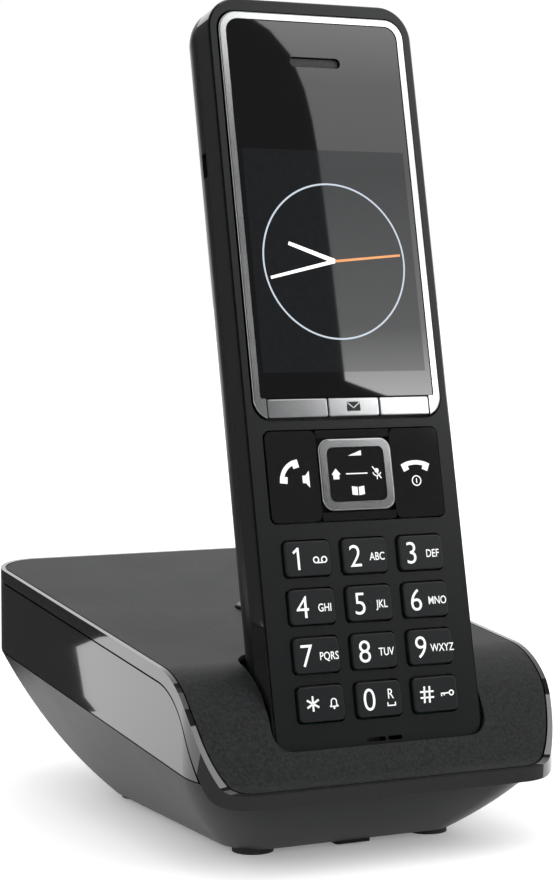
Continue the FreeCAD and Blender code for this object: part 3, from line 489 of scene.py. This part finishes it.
floorStyle = {"reach": 30.0, "colour": (.92, .92, .92), "roughness": .8, "glow": .22}
floorMesh = bpy.data.meshes.new("floor")
floorEdge = floorStyle["reach"]
floorMesh.from_pydata([(-floorEdge, -floorEdge, 0), (floorEdge, -floorEdge, 0),
                       (floorEdge, floorEdge, 0), (-floorEdge, floorEdge, 0)], [], [(0, 1, 2, 3)])
floor = bpy.data.objects.new("floor", floorMesh)
bpy.context.scene.collection.objects.link(floor)
floorMaterial, _, _, floorShader = newMaterial("paleFloor")
floorShader.inputs["Base Color"].default_value = (*floorStyle["colour"], 1)
floorShader.inputs["Roughness"].default_value = floorStyle["roughness"]
floorShader.inputs["Emission Color"].default_value = (1, 1, 1, 1)
floorShader.inputs["Emission Strength"].default_value = floorStyle["glow"]
floorMesh.materials.append(floorMaterial)

# An even white room; dark cards that only reflections see shape the gloss.
roomStyle = {"colour": (1, 1, 1), "strength": 1.0}
world = bpy.data.worlds.new("studio")
bpy.context.scene.world = world
world.use_nodes = True
background = world.node_tree.nodes["Background"]
background.inputs["Color"].default_value = (*roomStyle["colour"], 1)
background.inputs["Strength"].default_value = roomStyle["strength"]

softboxes = {
    "overhead": {"kind": "SUN", "at": (0, .2, 2), "to": (0, 0, 0), "strength": 1.0, "spread": 120},
    "frontRight": {"kind": "AREA", "at": (.93, -1.0, .66), "to": (0, -.04, .11),
                   "size": (.72, .9), "strength": 5},
}
for name, spec in softboxes.items():
    lamp = bpy.data.lights.new(name, spec["kind"])
    lamp.energy = spec["strength"]
    if spec["kind"] == "SUN":
        lamp.angle = math.radians(spec["spread"])
    else:
        lamp.shape = "RECTANGLE"
        lamp.size, lamp.size_y = spec["size"]
    lampObj = bpy.data.objects.new(name, lamp)
    bpy.context.scene.collection.objects.link(lampObj)
    lampObj.location = spec["at"]
    aim = Vector(spec["to"]) - Vector(spec["at"])
    lampObj.rotation_euler = aim.to_track_quat("-Z", "Y").to_euler()
    lampObj.visible_camera = False
    lampObj.visible_glossy = False


def studioCard(name, corners, lowAt, highAt, tones, strength):
    # a flat card seen only in reflections; tones gives its grey at steps between two heights
    mesh = bpy.data.meshes.new(name)
    mesh.from_pydata(corners, [], [tuple(range(len(corners)))])
    material = bpy.data.materials.new(name)
    material.use_nodes = True
    nodes, links = material.node_tree.nodes, material.node_tree.links
    nodes.remove(nodes["Principled BSDF"])
    glow = nodes.new("ShaderNodeEmission")
    glow.inputs["Strength"].default_value = strength
    coords = nodes.new("ShaderNodeTexCoord")
    axes = nodes.new("ShaderNodeSeparateXYZ")
    links.new(coords.outputs["Object"], axes.inputs["Vector"])
    span = nodes.new("ShaderNodeMapRange")
    span.inputs["From Min"].default_value = lowAt
    span.inputs["From Max"].default_value = highAt
    links.new(axes.outputs["Z"], span.inputs["Value"])
    ramp = nodes.new("ShaderNodeValToRGB")
    for step, (place, grey) in enumerate(tones):
        stops = ramp.color_ramp.elements
        stop = stops[step] if step < 2 else stops.new(place)
        stop.position = place
        stop.color = (grey, grey, grey, 1)
    links.new(span.outputs["Result"], ramp.inputs["Fac"])
    links.new(ramp.outputs["Color"], glow.inputs["Color"])
    links.new(glow.outputs["Emission"], nodes["Material Output"].inputs["Surface"])
    mesh.materials.append(material)
    card = bpy.data.objects.new(name, mesh)
    bpy.context.scene.collection.objects.link(card)
    card.visible_camera = False
    card.visible_diffuse = False
    card.visible_shadow = False
    card.visible_transmission = False


curvedCard = [(.530, -1, .787), (.548, -1, .774), (.561, -1, .754), (.567, -1, .724),
              (.568, -1, .699), (.567, -1, .673), (.560, -1, .591), (.550, -1, .488),
              (.62, -1, .46), (.62, -1, .30), (1.3, -1, .30), (1.3, -1, 1.1), (.50, -1, 1.1),
              (.50, -1, .80)]
studioCard("curvedCard", curvedCard, lowAt=.30, highAt=.82, strength=5.0,
           tones=[(0, .05), (1, .55), (.28, .08), (.34, 1.0), (.44, .42), (.68, .26),
                  (.83, .30)])
studioCard("frontFlag", [(-4, -1.4, 0), (4, -1.4, 0), (4, -1.4, 4), (-4, -1.4, 4)],
           lowAt=0, highAt=2, strength=.10, tones=[(0, .6), (1, 1)])
studioCard("frontFloorFlag", [(-.6, -.03, .001), (-.075, -.03, .001), (-.02, -.075, .001),
                              (.3, -.075, .001), (.3, -.7, .001), (-.6, -.7, .001)],
           lowAt=0, highAt=1, strength=.30, tones=[(0, 1), (1, 1)])
studioCard("sideFlag", [(-.16, .95, 0), (-.16, .95, 1.6), (-2.5, .2, 1.6), (-2.5, .2, 0)],
           lowAt=0, highAt=1.2, strength=.12, tones=[(0, .5), (1, 1)])
studioCard("floorFlag", [(-.097, .126, .001), (-.103, .150, .001), (-.137, .243, .001),
                         (-.153, .261, .001), (-2.5, .36, .001), (-2.5, 1.2, .001),
                         (.1, .95, .001), (.1, .126, .001)],
           lowAt=0, highAt=1, strength=.06, tones=[(0, 1), (1, 1)])

cameraStyle = {"at": (-.236647, -.485805, .118288), "yaw": -26.405, "pitch": -3.483, "lens": 95.45}
camera = bpy.data.cameras.new("camera")
camera.lens = cameraStyle["lens"]
camera.sensor_width = 36.0
camera.clip_start = 0.01
cameraObj = bpy.data.objects.new("camera", camera)
bpy.context.scene.collection.objects.link(cameraObj)
cameraObj.location = cameraStyle["at"]
cameraObj.rotation_euler = (math.radians(90 + cameraStyle["pitch"]), 0,
                            math.radians(cameraStyle["yaw"]))
bpy.context.scene.camera = cameraObj
bpy.context.scene.view_settings.view_transform = "Standard"

print("scene ready")
